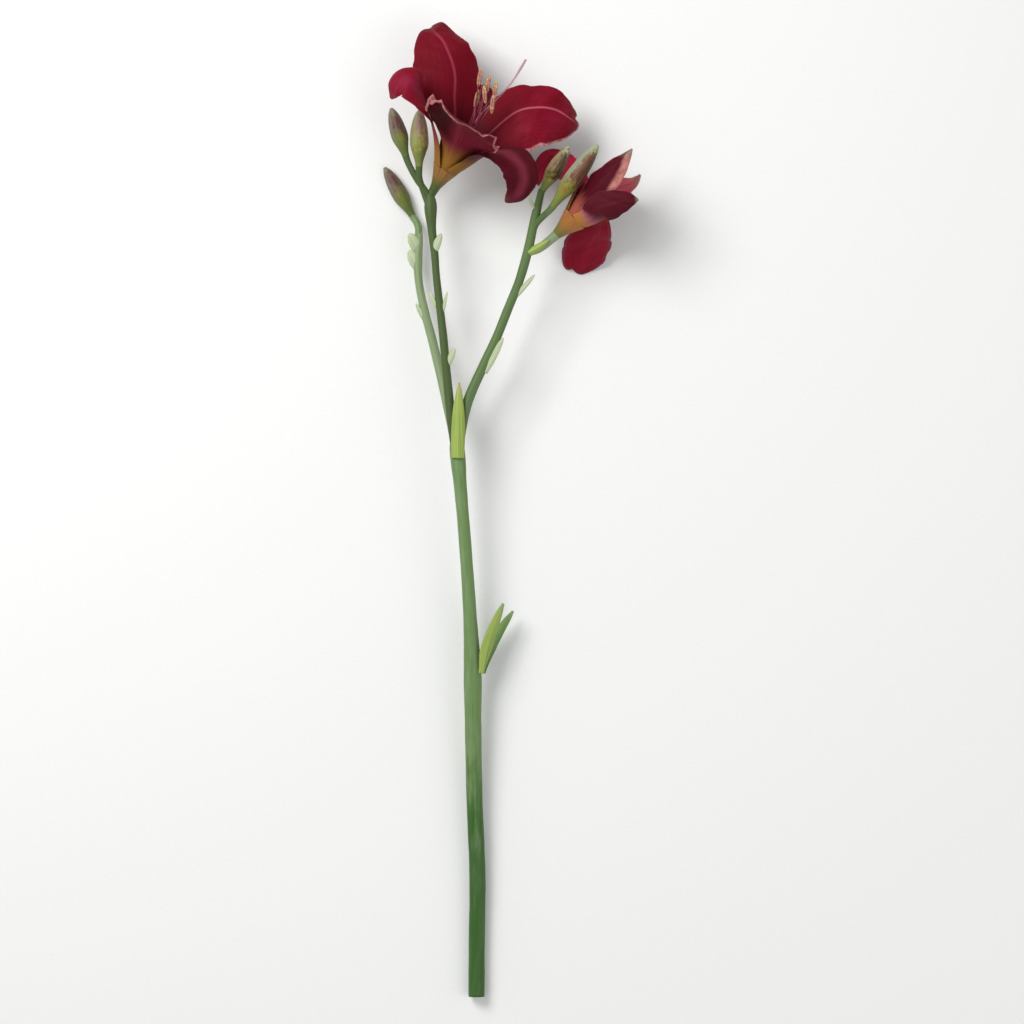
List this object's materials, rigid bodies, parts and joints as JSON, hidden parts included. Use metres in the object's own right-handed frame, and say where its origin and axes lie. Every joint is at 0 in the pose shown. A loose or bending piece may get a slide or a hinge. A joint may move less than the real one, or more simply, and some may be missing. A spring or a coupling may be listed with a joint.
{
  "type": "daylily flower",
  "caption": "Cut daylily flowering stem lying flat: branched scape with an open crimson bloom, a half closed side bloom, buds and bracts.",
  "frame": {"origin": "on the surface the stem lies on, under the middle of the whole part's box", "axes": "+Y up the stem from the cut end towards the blooms, +X to the right as seen from above, +Z away from the surface"},
  "size_m": [0.1382, 0.5196, 0.1012],
  "materials": {
    "scape": "satin",
    "bract": "satin",
    "bud": "satin",
    "tube": "satin",
    "petal": "satin",
    "sepal": "satin",
    "stamen": "matte",
    "pistil": "satin"
  },
  "bodies": {
    "root": {"scape": "scape", "fork_bract": "bract", "lower_bract_front": "bract", "lower_bract_back": "bract", "bud_left_low": "bud", "bud_left_high": "bud", "bud_middle": "bud", "bud_right_low": "bud", "bud_right_high": "bud", "top_bloom_tube": "tube", "top_bloom_petal_up": "petal", "top_bloom_petal_right": "petal", "top_bloom_petal_front": "petal", "top_bloom_sepal_left": "sepal", "top_bloom_sepal_low": "sepal", "top_bloom_sepal_back": "sepal", "top_bloom_stamens": "stamen", "top_bloom_pistil": "pistil", "side_bloom_tube": "tube", "side_bloom_petal_upper": "petal", "side_bloom_petal_low": "petal", "side_bloom_petal_back": "petal", "side_bloom_sepal_front": "sepal", "side_bloom_sepal_right": "sepal", "side_bloom_sepal_left": "sepal", "side_bloom_stamens": "stamen", "side_bloom_pistil": "pistil"}
  },
  "joints": []
}
